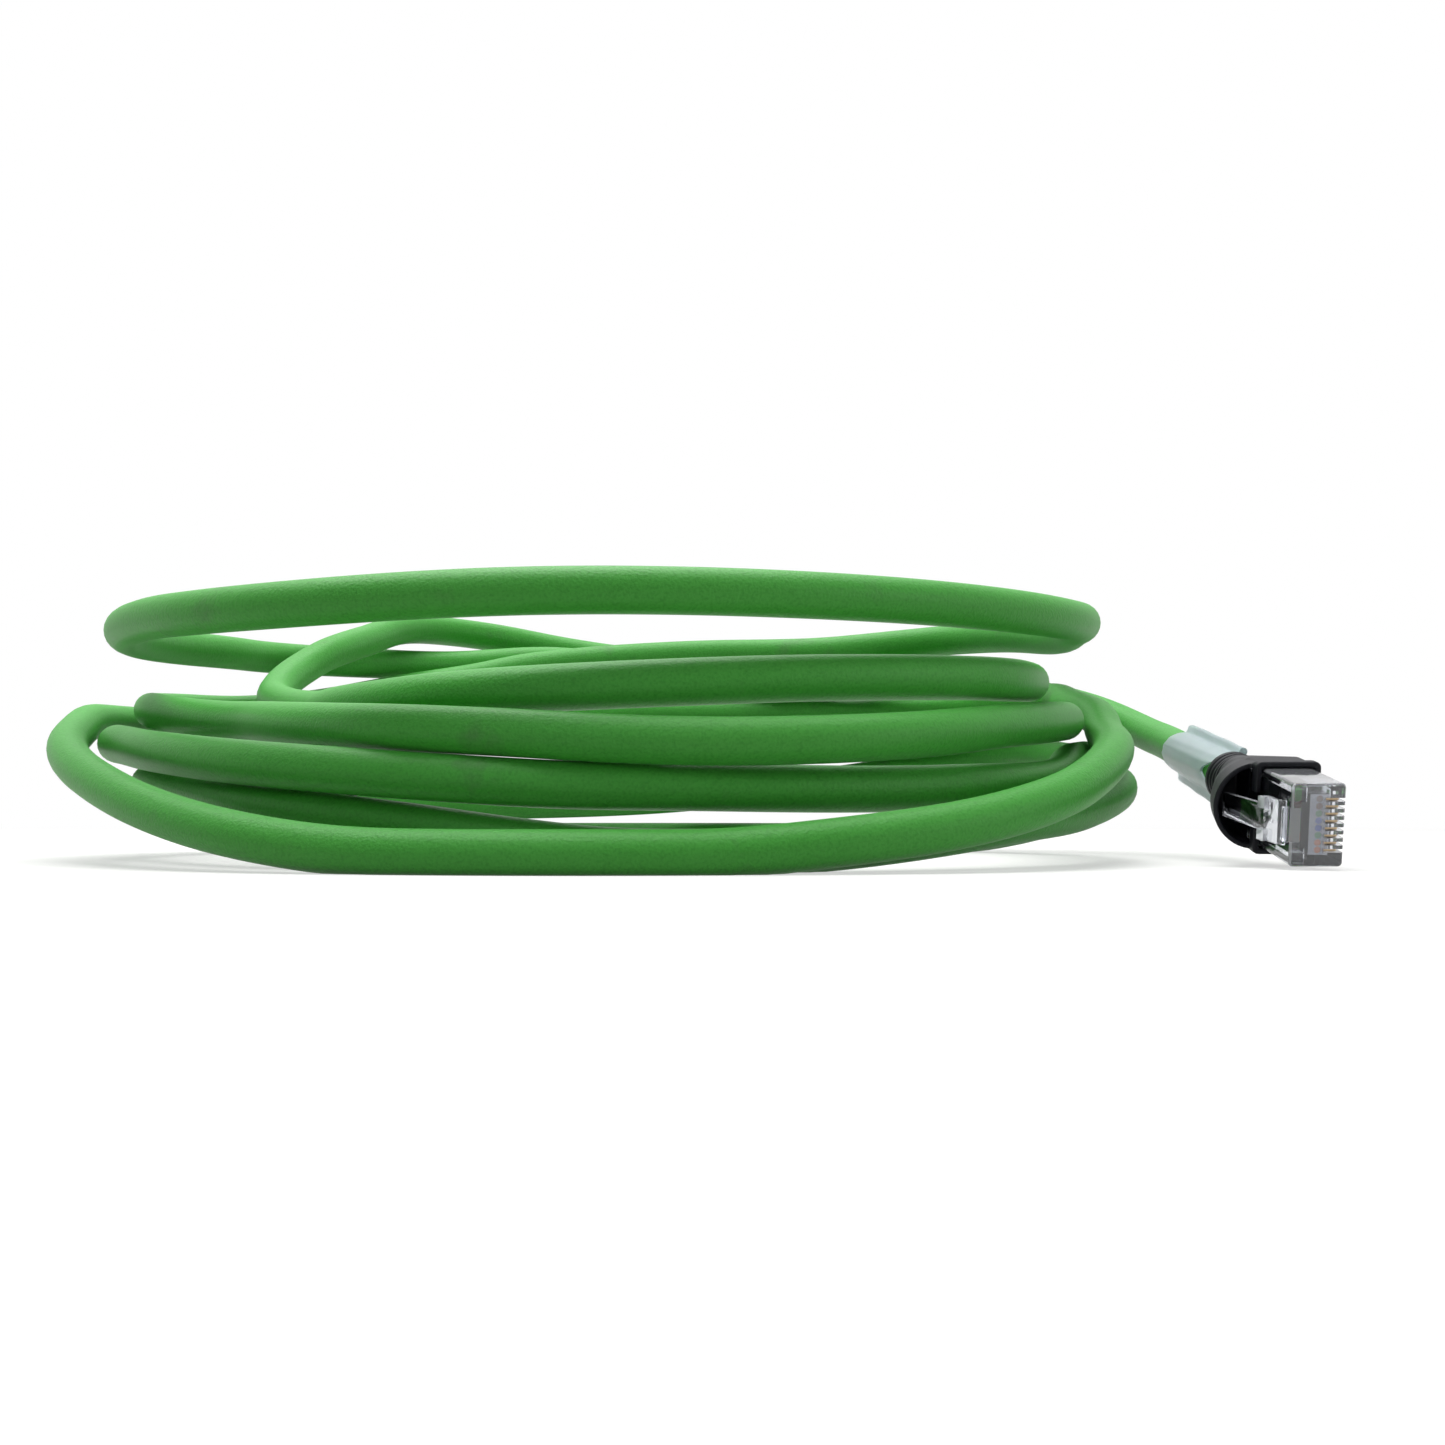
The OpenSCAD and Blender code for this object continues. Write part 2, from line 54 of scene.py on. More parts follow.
def makeCamera():
    data = bpy.data.cameras.new("camera")
    data.lens = camera["lens"]
    data.sensor_width = camera["sensor"]
    data.shift_y = camera["shiftY"]
    data.clip_start = camera["clipStart"]
    eye = bpy.data.objects.new("camera", data)
    eye.location = camera["place"]
    eye.rotation_euler = (math.radians(90), 0, 0)
    bpy.context.scene.collection.objects.link(eye)
    bpy.context.scene.camera = eye


# where each plug lies, read from its mount and its latch joint
plug = {"housingX": 24 * mm, "noseX": 45.5 * mm, "jacketEndX": 34.3 * mm}
ends = ("a", "b")


def plugPlace(end):
    mount = next(m for m in frame["record"]["mounts"] if m["name"] == "plug_" + end)
    joint = next(j for j in frame["joints"] if j["name"] == "latch_" + end + "_press")
    nose = Vector(mount["axis"]).normalized()
    side = -Vector(joint["axis"]).normalized()
    turn = Matrix((nose, side, nose.cross(side))).transposed().to_4x4()
    return Matrix.Translation(Vector(mount["pos_m"]) - nose * plug["noseX"]) @ turn


places = {end: plugPlace(end) for end in ends}

# cable: stations of its centre line as angle round the coil, radius and height
cable = {
    "diameter": 6.5 * mm,
    "coilAt": (-6.5 * mm, -3.5 * mm),
    "lieHeight": 2.6 * mm,      # centre line where the jacket is pressed on the floor
    "leadX": -41 * mm,          # end of the straight stretch behind each sleeve
    "sides": 24,
    "stationCuts": 8,           # points from one station to the next
    "ringGap": 2.4 * mm,
    "smoothing": 3,
    "pressedWide": 1.12,        # the ends are squeezed flat inside the housings
    "pressedThin": 0.84,
    "pressedFrom": 20 * mm,
    "pressedTo": 23.5 * mm,
    "stations": [
        # lead from plug A, rising over the back
        (12, .108, .0229), (16, .109, .0246), (20, .1095, .0267), (26, .1105, .0297),
        (32, .111, .0324), (40, .111, .0355), (52, .1095, .0394), (66, .107, .0422),
        (78, .105, .0434), (84, .1045, .0439), (92, .103, .0452), (99, .102, .0469),
        (108, .099, .0492), (117, .094, .0499),
        # arch that drops through the coil
        (125, .086, .0488), (134, .0765, .045), (143, .07, .042), (150, .0675, .0395),
        (156, .0665, .0365), (165, .064, .033), (174, .0615, .0295), (188, .0555, .027),
        (204, .053, .0255),
        # first turn
        (221, .0555, .0245), (243, .0675, .024), (257, .075, .0245), (275, .082, .0252),
        (295, .084, .0266), (318, .0845, .028), (332, .08, .029), (345, .077, .0302),
        (372, .077, .0325), (400, .083, .0357), (430, .09, .0382), (450, .0915, .042),
        (462, .0895, .0434), (476, .0905, .0417), (490, .087, .041), (509, .084, .0402),
        (520, .0805, .0397),
        # second turn
        (540, .0815, .0388), (555, .082, .0383), (578, .0825, .0377), (590, .084, .037),
        (604, .0855, .0367), (630, .0855, .0375), (660, .0855, .0378), (680, .086, .0382),
        (695, .086, .039), (705, .0855, .0402), (720, .086, .0415), (737, .0915, .0425),
        (750, .094, .0448), (762, .096, .0458), (770, .0935, .0454), (780, .087, .0442),
        (797, .077, .0436), (814, .0745, .0423), (827, .0775, .0405), (834, .0795, .0383),
        (842, .082, .0363), (850, .084, .034), (858, .0865, .0314), (869, .0885, .0292),
        (876, .089, .0286),
        # third turn
        (882, .0885, .0283), (890, .087, .0276), (898, .0825, .0268), (906, .0765, .0256),
        (916, .07, .0242), (926, .0655, .0232), (935, .0645, .0227), (947, .068, .0218),
        (963, .0755, .0205), (974, .082, .0196), (985, .0845, .0187), (997, .088, .0176),
        (1007, .091, .0174), (1020, .092, .0184), (1037, .087, .0208), (1052, .084, .0224),
        (1064, .083, .0235), (1073, .082, .0239), (1092, .082, .0242), (1105, .085, .0246),
        (1126, .089, .0235), (1150, .092, .0238), (1170, .0945, .0254), (1190, .0965, .026),
        (1209, .098, .0264), (1225, .098, .0263), (1235, .097, .026), (1245, .0955, .0255),
        (1252, .0945, .0252),
        # fourth turn
        (1260, .093, .0245), (1268, .0915, .022), (1277, .091, .0193), (1297, .0905, .0127),
        (1312, .092, .0078), (1323, .094, .0049), (1333, .095, .003), (1345, .096, .0026),
        (1362, .097, .0026), (1371, .0985, .0039), (1382, .101, .0063), (1393, .1005, .01),
        (1405, .0965, .0148), (1415, .093, .0181), (1428, .0895, .0211), (1436, .0893, .0248),
        (1448, .089, .028), (1457, .091, .0304), (1485, .0925, .0304), (1506, .0905, .0307),
        (1530, .088, .031), (1550, .0845, .029), (1570, .0805, .0255), (1590, .08, .0225),
        (1603, .082, .0204),
        # fifth turn
        (1611, .084, .0199), (1620, .0855, .0199), (1628, .0847, .02), (1635, .083, .0197),
        (1644, .0805, .0186), (1661, .0805, .0168), (1678, .0825, .0149), (1697, .0845, .0129),
        (1710, .085, .0117), (1718, .0855, .0115), (1738, .087, .0112), (1752, .087, .0118),
        (1769, .0855, .013), (1777, .0845, .0146), (1784, .0835, .0163), (1792, .085, .0172),
        (1800, .088, .0178), (1812, .091, .0182), (1822, .0935, .0196), (1832, .0953, .0205),
        (1845, .094, .0182), (1860, .089, .015), (1880, .08, .0117), (1897, .079, .0104),
        (1925, .082, .0097), (1950, .084, .0095), (1968, .082, .011),
        # sixth turn, down to the floor
        (1980, .079, .013), (1995, .078, .013), (2019, .076, .011), (2038, .08, .0086),
        (2056, .0825, .006), (2066, .084, .0041), (2076, .0855, .0026), (2086, .0888, .0026),
        (2094, .0915, .0034), (2102, .0936, .0048), (2113, .0935, .0068), (2125, .0923, .0083),
        (2137, .0925, .0112), (2146, .0913, .0127), (2153, .091, .0115), (2160, .089, .0098),
        (2175, .086, .006), (2190, .084, .0032), (2205, .083, .0026), (2240, .085, .0026),
        # tail, turning in along the floor to plug B
        (2257, .086, .0026), (2268, .086, .0026), (2275, .084, .0026), (2281, .0805, .0029),
        (2285.5, .0765, .0034), (2289.5, .0715, .004),
    ],
}


def stationSlope(i, column):
    rows = cable["stations"]
    before, after = rows[max(0, i - 1)], rows[min(len(rows) - 1, i + 1)]
    return (after[column] - before[column]) / (after[0] - before[0])


def coilPoint(i, angle):
    # a smooth cubic from one station to the next
    start, end = cable["stations"][i], cable["stations"][i + 1]
    span = end[0] - start[0]
    s = (angle - start[0]) / span
    found = []
    for column in (1, 2):
        found.append((2 * s**3 - 3 * s**2 + 1) * start[column]
                     + (s**3 - 2 * s**2 + s) * span * stationSlope(i, column)
                     + (3 * s**2 - 2 * s**3) * end[column]
                     + (s**3 - s**2) * span * stationSlope(i + 1, column))
    radius, height = found
    turn = math.radians(angle)
    return Vector((cable["coilAt"][0] + radius * math.cos(turn),
                   cable["coilAt"][1] + radius * math.sin(turn),
                   max(cable["lieHeight"], height)))


def evenPoints(points, gap):
    # the same line with its points a fixed distance apart
    total = sum((b - a).length for a, b in zip(points, points[1:]))
    count = max(2, round(total / gap))
    step, spare, even = total / count, 0.0, [points[0].copy()]
    for a, b in zip(points, points[1:]):
        length, done = (b - a).length, step - spare
        while done <= length and len(even) < count:
            even.append(a.lerp(b, done / length))
            done += step
        spare = length - (done - step)
    return even + [points[-1].copy()]


def cableRoute():
    straight = [plug["jacketEndX"], 0, cable["leadX"], cable["leadX"] - cable["diameter"]]
    points = [places["a"] @ Vector((x, 0, 0)) for x in straight]
    for i in range(len(cable["stations"]) - 1):
        a, b = cable["stations"][i][0], cable["stations"][i + 1][0]
        for cut in range(cable["stationCuts"]):
            points.append(coilPoint(i, a + (b - a) * cut / cable["stationCuts"]))
    points.append(coilPoint(len(cable["stations"]) - 2, cable["stations"][-1][0]))
    points += [places["b"] @ Vector((x, 0, 0)) for x in reversed(straight)]
    points = evenPoints(points, cable["ringGap"])
    stiff = math.ceil((plug["jacketEndX"] - cable["leadX"]) / cable["ringGap"])
    for _ in range(cable["smoothing"]):          # a stiff jacket has no sudden changes of bend
        moved = list(points)
        for i in range(stiff, len(points) - stiff):
            moved[i] = (points[i - 1] + 2 * points[i] + points[i + 1]) / 4
        points = moved
    return points


def pressShare(points, i):
    # shares of the radius sideways and upright: the jacket's ends are squeezed in the housings
    for end, near in (("a", points[0]), ("b", points[-1])):
        inside = plug["jacketEndX"] - (points[i] - near).length
        if inside < cable["pressedFrom"] or (points[i] - near).length > plug["jacketEndX"]:
            continue
        share = min(1, (inside - cable["pressedFrom"]) / (cable["pressedTo"] - cable["pressedFrom"]))
        wide = 1 + (cable["pressedWide"] - 1) * share
        thin = 1 + (cable["pressedThin"] - 1) * share
        return (thin, wide) if end == "a" else (wide, thin)
    return (1, 1)


def makeCable():
    points = cableRoute()
    radius, sides = cable["diameter"] / 2, cable["sides"]
    bm = bmesh.new()
    uv = bm.loops.layers.uv.new("along")
    rings, runs, run = [], [], 0.0
    for i, point in enumerate(points):
        forward = (points[min(i + 1, len(points) - 1)] - points[max(i - 1, 0)]).normalized()
        side = forward.cross(Vector((0, 0, 1))).normalized()
        up = side.cross(forward)
        run += (point - points[i - 1]).length if i else 0
        runs.append(run)
        wide, tall = pressShare(points, i)
        ring = []
        for k in range(sides):
            a = 2 * math.pi * k / sides
            spot = point + radius * (math.cos(a) * wide * side + math.sin(a) * tall * up)
            spot.z = max(spot.z, 0)              # pressed flat where it lies on the floor
            ring.append(bm.verts.new(spot))
        rings.append(ring)
    for i in range(len(rings) - 1):
        for k in range(sides):
            after = (k + 1) % sides
            face = bm.faces.new((rings[i][k], rings[i][after], rings[i + 1][after], rings[i + 1][k]))
            face.smooth = True
            for loop, (u, v) in zip(face.loops, ((k, i), (k + 1, i), (k + 1, i + 1), (k, i + 1))):
                loop[uv].uv = (u / sides, runs[v])
    bm.faces.new(rings[0])
    bm.faces.new(list(reversed(rings[-1])))
    bmesh.ops.recalc_face_normals(bm, faces=bm.faces)
    mesh = bpy.data.meshes.new("cable")
    bm.to_mesh(mesh)
    bm.free()
    piece = bpy.data.objects.new("cable", mesh)
    bpy.context.scene.collection.objects.link(piece)
    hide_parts("cable_coil", "cable_lead_a", "cable_lead_b")
    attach(piece, "root")
    return piece, points, run


# materials: colours are sRGB hex, sizes of patterns are real ones in metres
def toLinear(code):
    parts = [int(code[i:i + 2], 16) / 255 for i in (1, 3, 5)]
    return tuple(c / 12.92 if c <= 0.04045 else ((c + 0.055) / 1.055) ** 2.4 for c in parts) + (1,)


def addNode(tree, kind, inputs=None, **settings):
    # inputs: each socket's name or number, with a value or the socket that feeds it
    node = tree.nodes.new(kind)
    for name, value in settings.items():
        setattr(node, name, value)
    for key, value in (inputs or {}).items():
        if isinstance(value, bpy.types.NodeSocket):
            tree.links.new(value, node.inputs[key])
        else:
            node.inputs[key].default_value = value
    return node


def newMaterial(name):
    # an empty material with its node tree, and the place on a piece for its patterns
    material = bpy.data.materials.new(name)
    material.use_nodes = True
    tree = material.node_tree
    tree.nodes.clear()
    return material, tree, addNode(tree, "ShaderNodeTexCoord").outputs["Object"]


def variedSurface(tree, toneBy, roughBy, colours, roughs):
    # colour and roughness that go from one value to another with a pattern
    tone = addNode(tree, "ShaderNodeMix", {"Factor": toneBy, "A": toLinear(colours[0]),
                                           "B": toLinear(colours[1])}, data_type="RGBA")
    rough = addNode(tree, "ShaderNodeMapRange", {"Value": roughBy, "To Min": roughs[0],
                                                 "To Max": roughs[1]})
    return {"Base Color": tone.outputs["Result"], "Roughness": rough.outputs["Result"]}


def finishMaterial(material, inputs):
    shader = addNode(material.node_tree, "ShaderNodeBsdfPrincipled", inputs)
    addNode(material.node_tree, "ShaderNodeOutputMaterial", {"Surface": shader.outputs[0]})
    return material


jacketLook = {
    "green": "#3FA034", "worn": "#50A945", "cloudSize": 35 * mm,
    "grime": "#4F6B49", "grimeSize": 22 * mm, "grimeEdge": (0.60, 0.72), "grimeShare": 0.55,
    "fleck": "#297D21", "fleckEdge": (0.45, 0.75), "fleckShare": 0.4,
    "grainSize": 0.42 * mm, "grainDepth": 0.075 * mm, "rippleSize": 3 * mm, "rippleDepth": 0.05 * mm,
    "rough": (0.42, 0.56), "ior": 1.5, "specular": 0.25, "sheen": 0.02, "sheenRough": 0.35,
}


def jacketPolyurethane(look):
    # extruded matt polyurethane: fine orange-peel grain, a soft sheen and handling marks
    material, tree, where = newMaterial("jacketPolyurethane")
    cloud = addNode(tree, "ShaderNodeTexNoise", {"Vector": where, "Scale": 1 / look["cloudSize"],
                                                 "Detail": 2}).outputs["Fac"]
    surface = variedSurface(tree, cloud, cloud, (look["green"], look["worn"]), look["rough"])
    grime = addNode(tree, "ShaderNodeTexNoise", {"Vector": where, "Scale": 1 / look["grimeSize"],
                                                 "Detail": 5, "Roughness": 0.65}).outputs["Fac"]
    stain = addNode(tree, "ShaderNodeMapRange", {
        "Value": grime, "From Min": look["grimeEdge"][0], "From Max": look["grimeEdge"][1],
        "To Max": look["grimeShare"]})
    stained = addNode(tree, "ShaderNodeMix", {
        "Factor": stain.outputs["Result"], "A": surface["Base Color"], "B": toLinear(look["grime"])},
        data_type="RGBA")
    grain = addNode(tree, "ShaderNodeTexNoise", {"Vector": where, "Scale": 1 / look["grainSize"],
                                                 "Detail": 1}).outputs["Fac"]
    fleck = addNode(tree, "ShaderNodeMapRange", {
        "Value": grain, "From Min": look["fleckEdge"][0], "From Max": look["fleckEdge"][1],
        "To Max": look["fleckShare"]})
    flecked = addNode(tree, "ShaderNodeMix", {
        "Factor": fleck.outputs["Result"], "A": stained.outputs["Result"], "B": toLinear(look["fleck"])},
        data_type="RGBA")
    ripple = addNode(tree, "ShaderNodeTexNoise", {"Vector": where, "Scale": 1 / look["rippleSize"],
                                                  "Detail": 1}).outputs["Fac"]
    low = addNode(tree, "ShaderNodeBump", {"Height": ripple, "Distance": look["rippleDepth"]})
    bump = addNode(tree, "ShaderNodeBump", {"Height": grain, "Distance": look["grainDepth"],
                                            "Normal": low.outputs["Normal"]})
    return finishMaterial(material, {
        **surface, "Base Color": flecked.outputs["Result"], "IOR": look["ior"],
        "Specular IOR Level": look["specular"], "Sheen Weight": look["sheen"],
        "Sheen Roughness": look["sheenRough"], "Normal": bump.outputs["Normal"]})


def paint(piece, *materials):
    # each face keeps the number of its material
    faces = piece.data.polygons
    numbers = [0] * len(faces)
    faces.foreach_get("material_index", numbers)
    piece.data.materials.clear()
    for material in materials:
        piece.data.materials.append(material)
    faces.foreach_set("material_index", [min(number, len(materials) - 1) for number in numbers])


# stage: pale floor, white world, soft lamps
stage = {
    "floorSize": 12, "floorColour": "#B4B4B2", "floorGlow": 0.56,
    "fadeFrom": 0.3, "fadeTo": 0.9, "daylight": 0.06,
    "lamps": [
        # name, place, aimed at, width, height, watts
        ("overhead", (-0.1, 0.15, 0.95), (0, 0, 0), 1.0, 1.0, 15.8),
        ("front", (-0.35, -1.1, 0.6), (0, 0, 0.02), 0.7, 0.5, 0.9),
        ("side", (1.1, -0.5, 0.35), (0, 0, 0.02), 0.5, 0.5, 2.5),
    ],
}


def seenRays(tree):
    # 1 for rays that show the background straight, in a reflection or through clear plastic
    light = addNode(tree, "ShaderNodeLightPath")
    some = addNode(tree, "ShaderNodeMath", {0: light.outputs["Is Camera Ray"],
                                            1: light.outputs["Is Glossy Ray"]}, operation="MAXIMUM")
    return addNode(tree, "ShaderNodeMath", {0: some.outputs[0],
                                            1: light.outputs["Is Transmission Ray"]}, operation="MAXIMUM")


def makeStage():
    world = bpy.data.worlds.new("studio")
    bpy.context.scene.world = world
    world.use_nodes = True
    tree = world.node_tree
    tree.nodes.clear()
    strength = addNode(tree, "ShaderNodeMapRange", {"Value": seenRays(tree).outputs[0],
                                                    "To Min": stage["daylight"], "To Max": 1.0})
    sky = addNode(tree, "ShaderNodeBackground", {"Color": (1, 1, 1, 1),
                                                 "Strength": strength.outputs["Result"]})
    addNode(tree, "ShaderNodeOutputWorld", {"Surface": sky.outputs[0]})

    bpy.ops.mesh.primitive_plane_add(size=stage["floorSize"])
    floor = bpy.context.object
    floor.name = "floor"
    material, tree, where = newMaterial("paintedFloor")
    away = addNode(tree, "ShaderNodeVectorMath", {0: where}, operation="LENGTH")
    fade = addNode(tree, "ShaderNodeMapRange", {
        "Value": away.outputs["Value"], "From Min": stage["fadeFrom"], "From Max": stage["fadeTo"]},
        interpolation_type="SMOOTHSTEP")
    seen = seenRays(tree).outputs[0]
    glow = addNode(tree, "ShaderNodeMath", {0: seen, 1: stage["floorGlow"]}, operation="MULTIPLY")
    matt = addNode(tree, "ShaderNodeBsdfDiffuse", {"Color": toLinear(stage["floorColour"])})
    light = addNode(tree, "ShaderNodeEmission", {"Strength": glow.outputs[0]})
    lit = addNode(tree, "ShaderNodeAddShader", {0: matt.outputs[0], 1: light.outputs[0]})
    far = addNode(tree, "ShaderNodeEmission", {"Strength": seen})
    mixed = addNode(tree, "ShaderNodeMixShader", {"Fac": fade.outputs["Result"], 1: lit.outputs[0],
                                                  2: far.outputs[0]})
    addNode(tree, "ShaderNodeOutputMaterial", {"Surface": mixed.outputs[0]})
    paint(floor, material)

    for name, place, aim, width, height, watts in stage["lamps"]:
        data = bpy.data.lights.new(name, "AREA")
        data.shape, data.size, data.size_y, data.energy = "RECTANGLE", width, height, watts
        lamp = bpy.data.objects.new(name, data)
        lamp.location = place
        lamp.rotation_euler = (Vector(aim) - Vector(place)).to_track_quat("-Z", "Y").to_euler()
        bpy.context.scene.collection.objects.link(lamp)
    bpy.context.scene.view_settings.view_transform = "Standard"


# materials of the plug, boot and sleeve
def clearPolycarbonate(name, clearness):
    # injection-moulded polycarbonate: glossy, clear to slightly cloudy, with fine flow marks
    material, tree, where = newMaterial(name)
    flow = addNode(tree, "ShaderNodeTexNoise", {"Vector": where, "Scale": 1 / (1.6 * mm),
                                                "Detail": 2}).outputs["Fac"]
    bump = addNode(tree, "ShaderNodeBump", {"Height": flow, "Distance": 0.012 * mm})
    return finishMaterial(material, {
        **variedSurface(tree, flow, flow, ("#F0F2F7", "#E0E3EB"), (0.02, 0.07)),
        "IOR": 1.585, "Transmission Weight": clearness, "Normal": bump.outputs["Normal"]})


def giltBronze():
    # gold-plated phosphor bronze blades: warm metal, slightly satin from the plating
    material, tree, where = newMaterial("giltBronze")
    spots = addNode(tree, "ShaderNodeTexNoise", {"Vector": where, "Scale": 1 / (0.5 * mm),
                                                 "Detail": 2}).outputs["Fac"]
    return finishMaterial(material, {
        **variedSurface(tree, spots, spots, ("#C2AE90", "#957F66"), (0.22, 0.4)), "Metallic": 1.0})


def mattElastomer():
    # moulded thermoplastic elastomer: near black, matt, finely spark-eroded, with a little dust
    material, tree, where = newMaterial("mattElastomer")
    dust = addNode(tree, "ShaderNodeTexNoise", {"Vector": where, "Scale": 1 / (5 * mm),
                                                "Detail": 6}).outputs["Fac"]
    patch = addNode(tree, "ShaderNodeMapRange", {"Value": dust, "From Min": 0.5, "From Max": 0.8})
    grain = addNode(tree, "ShaderNodeTexNoise", {"Vector": where, "Scale": 1 / (0.25 * mm),
                                                 "Detail": 1}).outputs["Fac"]
    bump = addNode(tree, "ShaderNodeBump", {"Height": grain, "Distance": 0.02 * mm})
    return finishMaterial(material, {
        **variedSurface(tree, patch.outputs["Result"], dust, ("#0F1016", "#191B21"), (0.42, 0.62)),
        "IOR": 1.5, "Specular IOR Level": 0.2, "Normal": bump.outputs["Normal"]})


def milkyVinyl():
    # soft extruded vinyl: cloudy, half clear, satin, with faint draw lines
    material, tree, where = newMaterial("milkyVinyl")
    cloud = addNode(tree, "ShaderNodeTexNoise", {"Vector": where, "Scale": 1 / (6 * mm),
                                                 "Detail": 3}).outputs["Fac"]
    bump = addNode(tree, "ShaderNodeBump", {"Height": cloud, "Distance": 0.2 * mm})
    return finishMaterial(material, {
        **variedSurface(tree, cloud, cloud, ("#D6E2EA", "#C6DADA"), (0.3, 0.42)),
        "IOR": 1.45, "Transmission Weight": 0.6, "Normal": bump.outputs["Normal"]})


def wireInsulation(name, colours):
    # extruded polyethylene insulation: smooth, satin, a touch waxy
    material, tree, where = newMaterial(name)
    cloud = addNode(tree, "ShaderNodeTexNoise", {"Vector": where, "Scale": 1 / (1.2 * mm),
                                                 "Detail": 2}).outputs["Fac"]
    return finishMaterial(material, {**variedSurface(tree, cloud, cloud, colours, (0.3, 0.45)),
                                     "IOR": 1.5})


wireColours = {"orange": ("#E07B24", "#C96818"), "green": ("#2F8F4A", "#25783C"),
               "blue": ("#2B57B8", "#2148A0"), "brown": ("#7A4A2C", "#633A21"),
               "white": ("#E6E4DE", "#D5D2CA")}


# modelling steps. Plug pieces are modelled in millimetres in the plug's own frame: x runs from
# the boot's rear to the nose, z to the latch side. They are then copied to both ends.
tiny = 0.01         # thickness of a thin disc, and how near two places are to count as one
past = 1            # a cut goes on this far past the face that it opens
lap = 0.1           # a part joined to another starts this far inside it


def pick(*pieces):
    # these pieces are selected, and the first is the active one
    bpy.ops.object.select_all(action="DESELECT")
    for piece in pieces:
        piece.select_set(True)
    bpy.context.view_layer.objects.active = pieces[0]


def newPiece(name, adder, **settings):
    bpy.ops.object.select_all(action="DESELECT")
    adder(**settings)
    piece = bpy.context.object
    piece.name = name
    bpy.ops.object.transform_apply(location=True, rotation=True, scale=True)
    return piece


def addBox(low, high, name="block"):
    low, high = Vector(low), Vector(high)
    return newPiece(name, bpy.ops.mesh.primitive_cube_add, size=1, location=(low + high) / 2,
                    scale=high - low)


def addRod(start, end, radius, z=0, sides=64, name="rod"):
    return newPiece(name, bpy.ops.mesh.primitive_cylinder_add, vertices=sides, radius=radius,
                    depth=end - start, location=((start + end) / 2, 0, z), rotation=(0, math.pi / 2, 0))


def addCrossRod(width, radius, x, z):
    return newPiece("crossRod", bpy.ops.mesh.primitive_cylinder_add, vertices=48, radius=radius,
                    depth=width, location=(x, 0, z), rotation=(math.pi / 2, 0, 0))


def applyModifier(piece, kind, **settings):
    modifier = piece.modifiers.new(kind.lower(), kind)
    for name, value in settings.items():
        setattr(modifier, name, value)
    pick(piece)
    bpy.ops.object.modifier_apply(modifier=modifier.name)


def combine(piece, operation, *tools):
    for tool in tools:
        applyModifier(piece, "BOOLEAN", operation=operation, solver="MANIFOLD", object=tool)
        bpy.data.objects.remove(tool)
    return piece


def editPicked(piece, part, rule, *steps):
    # in edit mode, runs steps on the edges or faces of the piece that the rule picks
    pick(piece)
    bpy.context.tool_settings.mesh_select_mode = (False, part == "edges", part == "faces")
    mesh = piece.data
    for group in (mesh.vertices, mesh.edges, mesh.polygons):
        group.foreach_set("select", [False] * len(group))
    for item in (mesh.edges if part == "edges" else mesh.polygons):
        item.select = rule(item)
    bpy.ops.object.mode_set(mode="EDIT")
    for step in steps:
        step()
    bpy.ops.object.mode_set(mode="OBJECT")


def edgeEnds(piece, edge):
    return [piece.data.vertices[i].co for i in edge.vertices]


def bevelEdges(piece, width, segments, rule):
    # rule takes the two ends of an edge
    editPicked(piece, "edges", lambda edge: rule(*edgeEnds(piece, edge)),
               lambda: bpy.ops.mesh.bevel(offset=width, segments=segments, affect="EDGES"))


def alongX(a, b):
    return abs(a.y - b.y) < tiny and abs(a.z - b.z) < tiny


def softenEdges(piece, width, angle):
    applyModifier(piece, "BEVEL", width=width, segments=2, limit_method="ANGLE",
                  angle_limit=math.radians(angle))
    smoothShade(piece)


def hardShade(piece):
    # smooth bevels between faces that stay flat
    smoothShade(piece, 25)
    applyModifier(piece, "WEIGHTED_NORMAL", keep_sharp=True)


def smoothShade(piece, angle=32):
    pick(piece)
    bpy.ops.object.shade_smooth_by_angle(angle=math.radians(angle))


def placeAtEnds(model, name, node, slotName, body, *materials, only=None):
    # a copy with its own mesh at each end of the cable, for the node of that name
    placed = {}
    for end in only or ends:
        piece = model.copy()
        piece.data = model.data.copy()
        piece.name = name + "_" + end
        bpy.context.scene.collection.objects.link(piece)
        piece.data.transform(places[end] @ Matrix.Scale(mm, 4))
        paint(piece, *materials)
        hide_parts(node + "_" + end)
        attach(piece, body.format(end))
        placed[end] = piece
    bpy.data.objects.remove(model)
    print(name, "made")
    return placed


# boot: grooved neck, flare, collar with a raised rim, and an open hood over the latch's tab
boot = {
    "length": 31, "bore": 6.7,
    "neck": (0, 9.1, 4.4), "rearRound": 0.5,                # from, to, radius
    "grooves": (1.8, 3.6, 5.4, 7.2), "grooveWide": 0.8, "grooveFloor": 4.0,
    "flareFrom": 5, "collarFrom": 23, "collarWide": 13.08, "collarTall": 8.8, "collarRound": 1.1,
    "rimFrom": 28.8, "rimWide": 13.68, "rimTall": 9.4, "rimRound": 0.9,
    # sections of the hood and of its hollow: place, radius, height
    "hood": ((8.9, 4.4, 0), (15.5, 5.5, 1.5), (22, 6.2, 2.7), (28.8, 6.5, 3.6)),
    "hollow": ((18, 5.0, 1.9), (22, 5.45, 2.7), (28.9, 5.75, 3.6)), "hollowFloor": 3.81,
    "seat": (23.9, 11.88, 7.6), "squeeze": (20, 9.88, 5.66),          # from, width, height
    "window": (4.6, 3, 8),                                            # width, low, high
    "voxel": 0.16, "smoothing": 5, "keepShare": 0.3,
}


